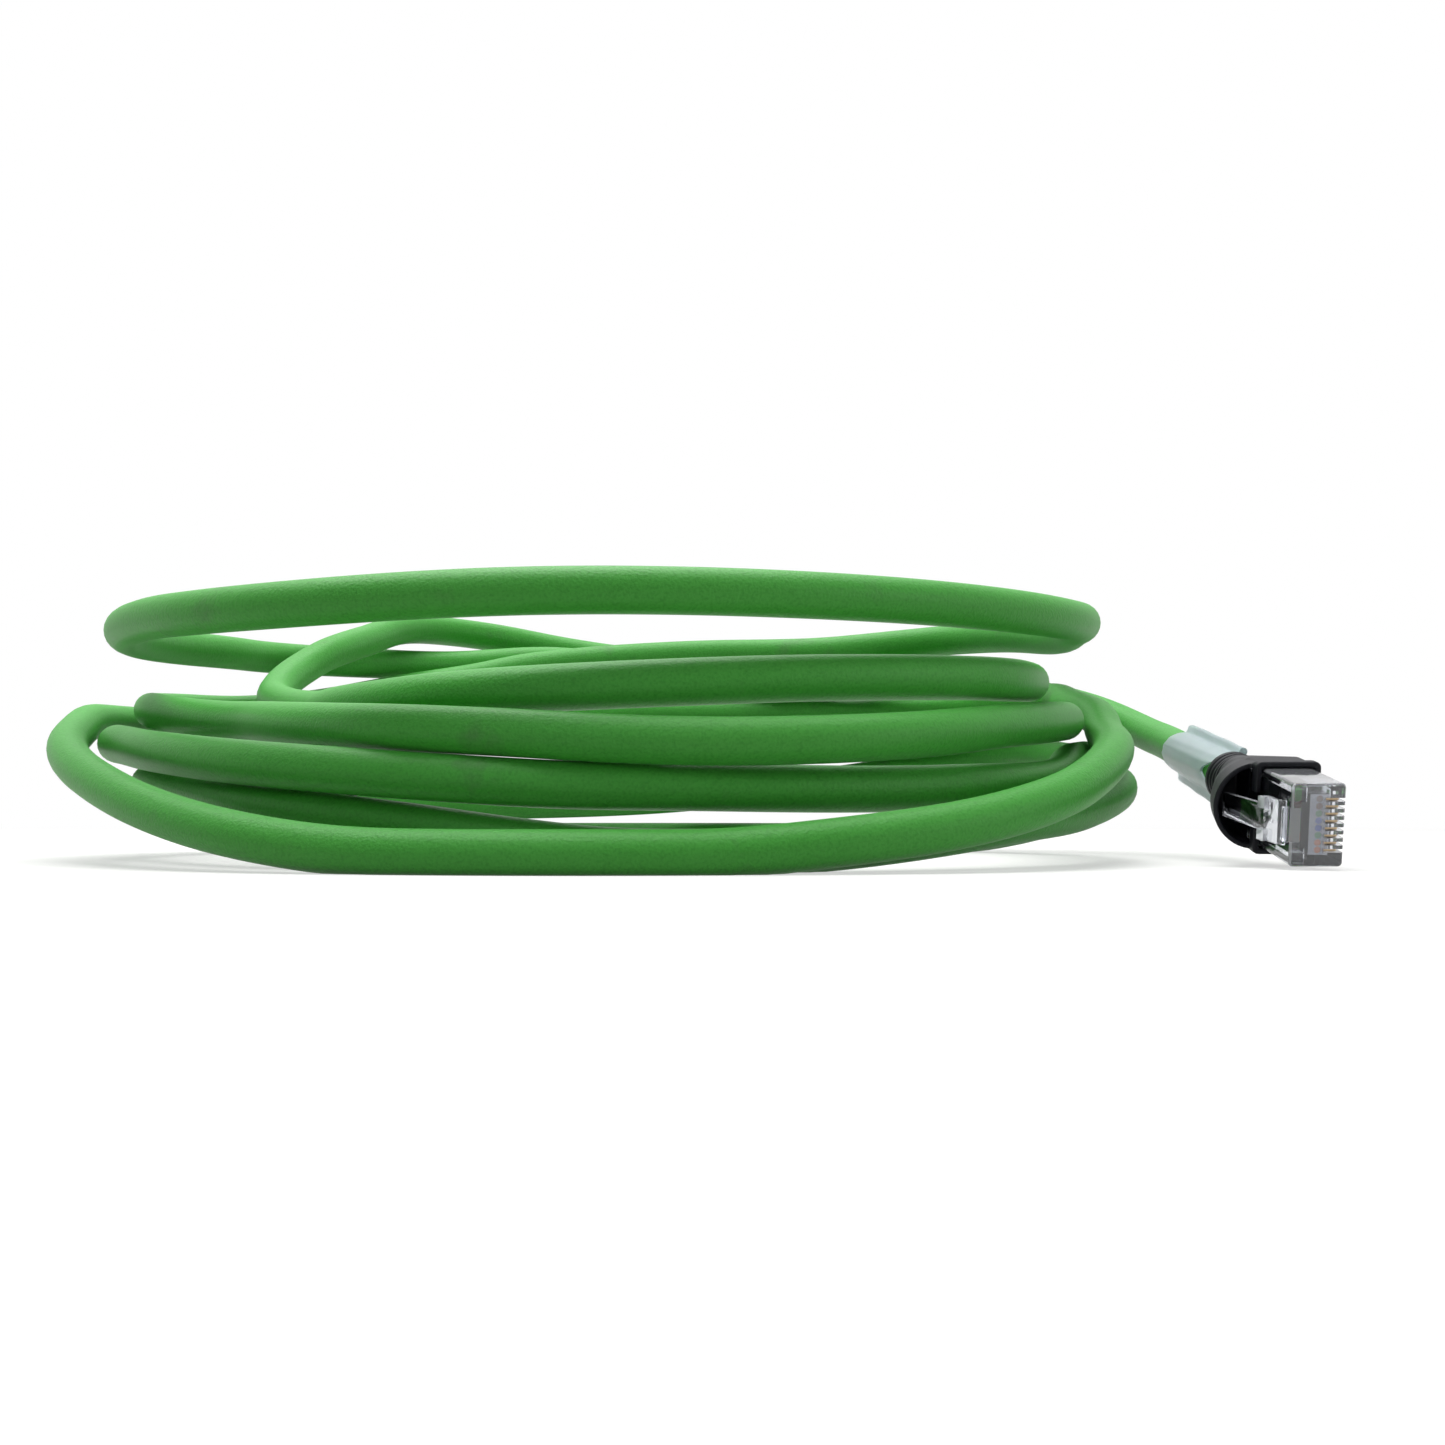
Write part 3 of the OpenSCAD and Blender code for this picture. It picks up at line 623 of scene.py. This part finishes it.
def hullOf(*parts):
    # the parts joined, then wrapped in one convex skin
    pick(*parts)
    bpy.ops.object.join()
    editPicked(parts[0], "faces", lambda face: True,
               lambda: bpy.ops.mesh.delete(type="EDGE_FACE"),
               lambda: bpy.ops.mesh.select_mode(type="VERT"),
               lambda: bpy.ops.mesh.select_all(action="SELECT"),
               lambda: bpy.ops.mesh.convex_hull(use_existing_faces=False))
    return parts[0]


def conesThrough(sections):
    # a cone from each round section to the next
    return [hullOf(*[addRod(x, x + tiny, radius, z=height) for x, radius, height in pair])
            for pair in zip(sections, sections[1:])]


def roundedBlock(x0, x1, wide, tall, corner):
    block = addBox((x0, -wide / 2, -tall / 2), (x1, wide / 2, tall / 2))
    bevelEdges(block, corner, 5, alongX)
    return block


def makeBoot():
    neck = addRod(boot["neck"][0], boot["neck"][1], boot["neck"][2], sides=96, name="boot")
    bevelEdges(neck, boot["rearRound"], 3, lambda a, b: max(a.x, b.x) < tiny)
    flareStart = addRod(boot["flareFrom"], boot["flareFrom"] + tiny, boot["neck"][2])
    flareEnd = roundedBlock(boot["collarFrom"], boot["collarFrom"] + 1, boot["collarWide"],
                            boot["collarTall"], boot["collarRound"])
    flare = hullOf(flareStart, flareEnd)
    combine(neck, "UNION", *conesThrough(boot["hood"]))
    collar = roundedBlock(boot["collarFrom"] + 0.5, boot["length"], boot["collarWide"],
                          boot["collarTall"], boot["collarRound"])
    rim = roundedBlock(boot["rimFrom"], boot["length"], boot["rimWide"], boot["rimTall"],
                       boot["rimRound"])
    combine(neck, "UNION", flare, collar, rim)
    for x in boot["grooves"]:
        groove = addRod(x, x + boot["grooveWide"], 2 * boot["neck"][2])
        combine(groove, "DIFFERENCE", addRod(x - past, x + 2 * past, boot["grooveFloor"], sides=96))
        combine(neck, "DIFFERENCE", groove)
    cones = conesThrough(boot["hollow"])
    hollow = combine(cones[0], "UNION", *cones[1:])
    combine(hollow, "DIFFERENCE", addBox((0, -20, -20), (40, 20, boot["hollowFloor"])))
    seatFrom, seatWide, seatTall = boot["seat"]
    squeezeFrom, squeezeWide, squeezeTall = boot["squeeze"]
    windowWide, windowLow, windowHigh = boot["window"]
    combine(neck, "DIFFERENCE",
            addRod(-past, squeezeFrom + past, boot["bore"] / 2),
            addBox((squeezeFrom, -squeezeWide / 2, -squeezeTall / 2),
                   (seatFrom + past, squeezeWide / 2, squeezeTall / 2)),
            addBox((seatFrom, -seatWide / 2, -seatTall / 2),
                   (boot["length"] + past, seatWide / 2, seatTall / 2)),
            addBox((boot["rimFrom"] - past, -windowWide / 2, windowLow),
                   (boot["length"] + past, windowWide / 2, windowHigh)), hollow)
    applyModifier(neck, "REMESH", mode="VOXEL", voxel_size=boot["voxel"])
    applyModifier(neck, "SMOOTH", factor=0.5, iterations=boot["smoothing"])
    applyModifier(neck, "DECIMATE", ratio=boot["keepShare"])
    smoothShade(neck, 60)
    return neck


# clear sleeve: a tube with two wings, slanting at the far end, with a notch at the near one
sleeve = {
    "from": -0.1, "to": -39, "round": 3.74, "bore": 3.36,
    "wingReach": 5.18, "wingThick": 1.2, "blend": 0.7,
    "turn": {"a": -15, "b": 0}, "twist": 15,
    "sides": 160, "gather": 0.85, "cuts": 60,                  # more of the sides lie along the wings
    "farEnd": (-30.5, 2.25),            # its place on the axis, and its slope to the latch side
    "ridges": (0.05, 14), "sway": (0.04, 13),           # height with their count, height with its length
    # the notch's narrow end, half its width there, and its wide end: place, low and high side
    "notchTip": (-5.7, 0.65), "notchTipHalf": 0.35, "notchMouth": (0.5, -2.4, 3.2), "notchTall": 8,
}


def sleeveRadiusAt(off):
    # the outline's distance from the axis at an angle off a wing: tube and wing, softly joined
    half = sleeve["wingThick"] / 2
    reach = sleeve["wingReach"] - half
    along, across = abs(reach * math.cos(off)), abs(reach * math.sin(off))
    if across < half:
        wing = along + math.sqrt(half**2 - across**2)
    else:
        wing = half / abs(math.sin(off))
    k = sleeve["blend"]
    return k * math.log(math.exp(sleeve["round"] / k) + math.exp(wing / k))


def makeSleeve(turn):
    tube = newPiece("sleeve", bpy.ops.mesh.primitive_cylinder_add, vertices=sleeve["sides"], radius=1,
                    depth=sleeve["from"] - sleeve["to"],
                    location=((sleeve["from"] + sleeve["to"]) / 2, 0, 0), rotation=(0, math.pi / 2, 0))
    editPicked(tube, "edges", lambda edge: alongX(*edgeEnds(tube, edge)),
               lambda: bpy.ops.mesh.subdivide(number_cuts=sleeve["cuts"]))
    height, count = sleeve["ridges"]
    farX, farSlope = sleeve["farEnd"]
    for vertex in tube.data.vertices:
        p = vertex.co
        off = math.atan2(p.y, p.z)
        off -= sleeve["gather"] / 2 * math.sin(2 * off)
        radius = sleeveRadiusAt(off) + height * math.sin(off)**2 * math.cos(count * off)
        radius += sleeve["sway"][0] * math.sin(2 * math.pi * p.x / sleeve["sway"][1] + 3 * off)
        angle = off + math.radians(90 - turn + sleeve["twist"] * (0.5 - p.x / farX))
        p.y, p.z = radius * math.sin(angle), radius * math.cos(angle)
    editPicked(tube, "faces", lambda face: True,
               lambda: bpy.ops.mesh.bisect(plane_co=(farX, 0, 0), plane_no=(-1, 0, -farSlope),
                                           use_fill=True, clear_outer=True))
    (tipX, tipY), (mouthX, mouthLow, mouthHigh) = sleeve["notchTip"], sleeve["notchMouth"]
    wedge = addBox((tipX, -1, 0), (mouthX, 1, sleeve["notchTall"]))
    for vertex in wedge.data.vertices:
        p = vertex.co
        if p.x < 0:
            p.y = tipY + math.copysign(sleeve["notchTipHalf"], p.y)
        else:
            p.y = mouthHigh if p.y > 0 else mouthLow
    wedge.data.update()
    combine(tube, "DIFFERENCE", addRod(sleeve["to"] - 5, 5, sleeve["bore"], sides=96), wedge)
    smoothShade(tube, 40)
    return tube


# housing: clear block, with its cavities, comb, recesses and the latch's seat
housing = {
    "from": 24, "to": 45.5, "wide": 11.68, "tall": 7.4, "edgeRound": 0.6, "noseRound": 0.5,
    "cavity": (38.3, 9.38, 5.9), "cavityRound": 0.5,               # to, width, height
    "barSlot": (38.2, 44.3, 8.46, -1.7, 1.0),                     # from, to, width, low, high
    "count": 8, "pitch": 1.02, "bladeSlot": (39.42, 0.51, -1.64),     # from, width, top
    "recesses": ((29.3, 33.8, 6.5), (36.2, 37.8, 8.16)), "recessDepth": 0.4,     # from, to, width
    "seat": (42.9, 4.2, 0.65, 6.6),                               # x, z, radius, width
    "block": (43.62, 44.5, 4.8, 4.5, 2.4),       # from, to, width, top, and the low end of its slope
    "pocketDepth": 0.55, "pocket": (3.25, 5.3, 1.65, 3.3),        # near and far sideways, low, high
    "paintedShade": (42, 0.9),                # painted shade: the hollows' latch side is given the black rubber: to, and above this height
    "cloudy": (43.6, 5.45),            # the nose and the two narrow sides are cloudier
    "finishes": ("clear", "paintedShade", "cloudy", "paintedHighlight"),
    "lug": (44.32, -0.95),             # the blades' slots go higher in front of the load bar
}


def acrossAt(i, pitch):
    # sideways place of the slot, blade or wire of that number
    return (i - (housing["count"] - 1) / 2) * pitch


def makeHousing():
    half, deep = housing["wide"] / 2, housing["tall"] / 2
    body = addBox((housing["from"], -half, -deep), (housing["to"], half, deep), "plugHousing")
    bevelEdges(body, housing["edgeRound"], 4, alongX)
    bevelEdges(body, housing["noseRound"], 4,
               lambda a, b: min(a.x, b.x) > housing["to"] - tiny)
    blockFrom, blockTo, blockWide, blockTop, slopeLow = housing["block"]
    combine(body, "UNION", addBox((blockFrom, -blockWide / 2, slopeLow),
                                  (blockTo, blockWide / 2, blockTop)))
    over = 2 * past
    slope = addBox((blockTo, -blockWide / 2, slopeLow), (blockTo + over, blockWide / 2, blockTop + over))
    for vertex in slope.data.vertices:             # the low front edge stays on the nose's face
        if vertex.co.z < slopeLow + tiny and vertex.co.x < blockTo + tiny:
            vertex.co.x = housing["to"]
        elif vertex.co.x < blockTo + tiny:
            lean = (blockTop + over - slopeLow) / (blockTop - slopeLow)
            vertex.co.x = housing["to"] - lean * (housing["to"] - blockTo)
    slope.data.update()
    combine(body, "DIFFERENCE", slope)
    cavityTo, cavityWide, cavityTall = housing["cavity"]
    cavity = addBox((housing["from"] - past, -cavityWide / 2, -cavityTall / 2),
                    (cavityTo, cavityWide / 2, cavityTall / 2))
    bevelEdges(cavity, housing["cavityRound"], 3, alongX)
    slotFrom, slotTo, slotWide, slotLow, slotHigh = housing["barSlot"]
    combine(body, "DIFFERENCE", cavity,
            addBox((slotFrom, -slotWide / 2, slotLow), (slotTo, slotWide / 2, slotHigh)))
    bladeFrom, bladeWide, bladeTop = housing["bladeSlot"]
    for i in range(housing["count"]):
        y = acrossAt(i, housing["pitch"])
        combine(body, "DIFFERENCE", addBox((bladeFrom, y - bladeWide / 2, -deep - past),
                                           (housing["to"] + past, y + bladeWide / 2, bladeTop)),
                addBox((housing["lug"][0], y - bladeWide / 2, bladeTop - past),
                       (housing["to"] + past, y + bladeWide / 2, housing["lug"][1])))
    for start, end, wide in housing["recesses"]:
        combine(body, "DIFFERENCE", addBox((start, -wide / 2, -deep - past),
                                           (end, wide / 2, housing["recessDepth"] - deep)))
    seatX, seatZ, seatRadius, seatWide = housing["seat"]
    combine(body, "DIFFERENCE", addCrossRod(seatWide, seatRadius, seatX, seatZ))
    near, far, low, high = housing["pocket"]
    for left, right in ((-far, -near), (near, far)):
        combine(body, "DIFFERENCE", addBox((housing["to"] - housing["pocketDepth"], left, low),
                                           (housing["to"] + past, right, high)))
    hardShade(body)
    paintedShadeTo, paintedShadeTop = housing["paintedShade"]
    cloudyFrom, cloudyOut = housing["cloudy"]
    for face in body.data.polygons:
        middle, finish = face.center, "clear"
        # painted shade: the inner face of the latch wall takes the black rubber, standing in for the dark shade in
        # the hollows
        if face.normal.z < -0.9 and middle.z > paintedShadeTop and middle.x < paintedShadeTo:
            finish = "paintedShade"
        elif min(face.normal.x, face.normal.z) > 0.2 and middle.z > slopeLow:
            finish = "paintedHighlight"                     # painted highlight: the hinge block's slope takes the milky plastic so that it reads bright
        elif middle.x > cloudyFrom or abs(middle.y) > cloudyOut:
            finish = "cloudy"
        face.material_index = housing["finishes"].index(finish)
    return body


# latch: hinge root, plate, two locking shoulders and a thumb tab, at its free angle
latch = {
    "hinge": (42.9, 4.2), "angle": 12, "rootRadius": 0.6, "wide": 6.2, "plateLength": 4.6,
    "low": -0.2, "high": 0.6, "length": 16.5, "tabWide": (3.8, 3.5), "tabOverlap": 0.3,
    "shoulder": (1.9, 1.6, 0.7),                                  # length, width, height above the plate
    "ring": (-1.7, 0.42, 0.12), "soften": 0.1,                    # place, radius, depth
}


def makeLatch():
    low, high = latch["low"], latch["high"]
    nearWide, farWide = latch["tabWide"]
    body = addBox((-latch["plateLength"], -latch["wide"] / 2, low), (0, latch["wide"] / 2, high),
                  "latchLever")
    tab = addBox((-latch["length"], -nearWide / 2, low),
                 (latch["tabOverlap"] - latch["plateLength"], nearWide / 2, high))
    for vertex in tab.data.vertices:
        if vertex.co.x < -latch["length"] + tiny:
            vertex.co.y *= farWide / nearWide
    tab.data.update()
    combine(body, "UNION", tab, addCrossRod(latch["wide"], latch["rootRadius"], 0, 0))
    long, wide, tall = latch["shoulder"]
    for side in (-1, 1):
        middle = side * (latch["wide"] - wide) / 2
        combine(body, "UNION", addBox((-latch["plateLength"], middle - wide / 2, low + lap),
                                      (long - latch["plateLength"], middle + wide / 2, high + tall)))
    softenEdges(body, latch["soften"], 40)
    ringX, ringRadius, ringDepth = latch["ring"]
    mark = newPiece("mark", bpy.ops.mesh.primitive_torus_add, major_radius=ringRadius,
                    minor_radius=ringDepth, major_segments=32, minor_segments=8,
                    location=(ringX, 0, high))
    combine(body, "DIFFERENCE", mark)
    hardShade(body)
    for face in body.data.polygons:                # painted highlight: the tab's sides and the shoulders take the milky plastic, so they read as catching the light
        edge = abs(face.normal.y) > 0.5 and face.center.x < -latch["plateLength"]
        face.material_index = 1 if edge or face.center.z > high + 0.3 else 0
    hingeX, hingeZ = latch["hinge"]
    body.data.transform(Matrix.Translation((hingeX, 0, hingeZ))
                        @ Matrix.Rotation(math.radians(latch["angle"]), 4, "Y"))
    return body


# contacts: eight gilt blades with piercing teeth
contacts = {
    "from": 39.5, "to": 44.9, "thick": 0.35, "low": -3.0, "high": -1.7,
    "noseRound": 0.5, "rearRound": 0.25, "soften": 0.05, "lug": (44.36, -1.0),
    "teeth": (0.6, 2.0, 3.4), "toothLong": 0.7, "toothTop": -0.87, "toothTipHalf": 0.06,
}


def makeContacts():
    half = contacts["thick"] / 2
    blade = addBox((contacts["from"], -half, contacts["low"]), (contacts["to"], half, contacts["high"]),
                   "contactBlades")
    rear, nose, low = contacts["from"] + tiny, contacts["to"] - tiny, contacts["low"] + tiny
    bevelEdges(blade, contacts["noseRound"], 5,
               lambda a, b: min(a.x, b.x) > nose and max(a.z, b.z) < low)
    bevelEdges(blade, contacts["rearRound"], 3,
               lambda a, b: max(a.x, b.x) < rear and max(a.z, b.z) < low)
    for x in contacts["teeth"]:
        start = contacts["from"] + x
        middle = start + contacts["toothLong"] / 2
        tooth = addBox((start, -half, contacts["high"] - lap),
                       (start + contacts["toothLong"], half, contacts["toothTop"]))
        for vertex in tooth.data.vertices:
            if vertex.co.z > contacts["high"]:
                vertex.co.x = middle + math.copysign(contacts["toothTipHalf"], vertex.co.x - middle)
        tooth.data.update()
        combine(blade, "UNION", tooth)
    combine(blade, "UNION", addBox((contacts["lug"][0], -half, contacts["high"] - lap),
                                   (contacts["to"], half, contacts["lug"][1])))
    softenEdges(blade, contacts["soften"], 50)
    blade.data.transform(Matrix.Translation((0, acrossAt(0, housing["pitch"]), 0)))
    applyModifier(blade, "ARRAY", count=housing["count"], use_relative_offset=False,
                  use_constant_offset=True, constant_offset_displace=(0, housing["pitch"], 0))
    return blade


# wires: four pairs from the jacket's end, fanned out to the load bar, with one wire of each pair
# white and striped
wires = {
    "diameter": 0.92, "start": 34.4, "outTo": 35.3, "inFrom": 37.4, "barFrom": 38.6, "end": 44.15,
    "barZ": -0.35, "fanPitch": 0.64, "fanHigh": 0.8, "fanLow": -1.1, "handle": 0.55, "stripeFrom": 0.72,
    "pairs": {"orange": (1, 0), "green": (5, 2), "blue": (3, 4), "brown": (7, 6)},      # plain, striped
}


def makeWire(i):
    y, z = acrossAt(i, wires["fanPitch"]), wires["fanHigh"] if i % 2 == 0 else wires["fanLow"]
    straightY = acrossAt(i, housing["pitch"])
    points = [(wires["start"], y, z), (wires["outTo"], y, z), (wires["inFrom"], straightY, wires["barZ"]),
              (wires["barFrom"], straightY, wires["barZ"]), (wires["end"], straightY, wires["barZ"])]
    curve = bpy.data.curves.new("wire", "CURVE")
    curve.dimensions, curve.resolution_u = "3D", 6
    curve.bevel_depth, curve.bevel_resolution, curve.use_fill_caps = wires["diameter"] / 2, 5, True
    spline = curve.splines.new("BEZIER")
    spline.bezier_points.add(len(points) - 1)
    reach = Vector((wires["handle"], 0, 0))
    for point, place in zip(spline.bezier_points, points):
        point.co = place
        point.handle_left, point.handle_right = Vector(place) - reach, Vector(place) + reach
    wire = bpy.data.objects.new("wire", curve)
    bpy.context.scene.collection.objects.link(wire)
    pick(wire)
    bpy.ops.object.convert(target="MESH")
    return bpy.context.object


def makeWirePair(name):
    plain, striped = [makeWire(i) for i in wires["pairs"][name]]
    for wire in (plain, striped):                 # empty places keep the faces' numbers when joined
        wire.data.materials.clear()
        for _ in range(2):
            wire.data.materials.append(None)
    for face in striped.data.polygons:            # the stripe runs along the wire's upper side
        face.material_index = 0 if face.normal.z > wires["stripeFrom"] else 1
    pick(plain, striped)
    bpy.ops.object.join()
    smoothShade(plain, 40)
    return plain


makeCamera()
print("camera made")
cablePiece, cableLine, cableLength = makeCable()
paint(cablePiece, jacketPolyurethane(jacketLook))
print("cable made, length", round(cableLength, 3))
makeStage()
print("stage made")

clear = clearPolycarbonate("clearPolycarbonate", 1.0)
cloudy = clearPolycarbonate("cloudyPolycarbonate", 0.84)
milky = clearPolycarbonate("milkyPolycarbonate", 0.55)
gilt, rubber, vinyl = giltBronze(), mattElastomer(), milkyVinyl()
insulation = {name: wireInsulation(name + "Insulation", colours) for name, colours in wireColours.items()}
placed = [placeAtEnds(makeBoot(), "boot", "boot", "boot", "root", rubber),
          # the housing's rubber is painted shade inside the latch wall
          placeAtEnds(makeHousing(), "plugHousing", "housing", "clear_housing", "root",
                      # its milky plastic is a painted highlight on the hinge block's slope
                      clear, rubber, cloudy, milky),
          # the latch's milky plastic is a painted highlight on the tab's sides and shoulders
          placeAtEnds(makeLatch(), "latchLever", "latch", "clear_housing", "latch_{}", clear, milky),
          placeAtEnds(makeContacts(), "contactBlades", "contacts", "contact_gold", "root", gilt)]
for name in wires["pairs"]:
    placed.append(placeAtEnds(makeWirePair(name), "wires" + name.capitalize(), "wires_" + name,
                              "wire_" + name, "root", insulation[name], insulation["white"]))
for end in ends:
    tube = makeSleeve(sleeve["turn"][end])
    placed.append(placeAtEnds(tube, "sleeve", "sleeve", "sleeve", "root", vinyl, only=end))
    paint(frame["nodes"]["load_bar_" + end], milky)
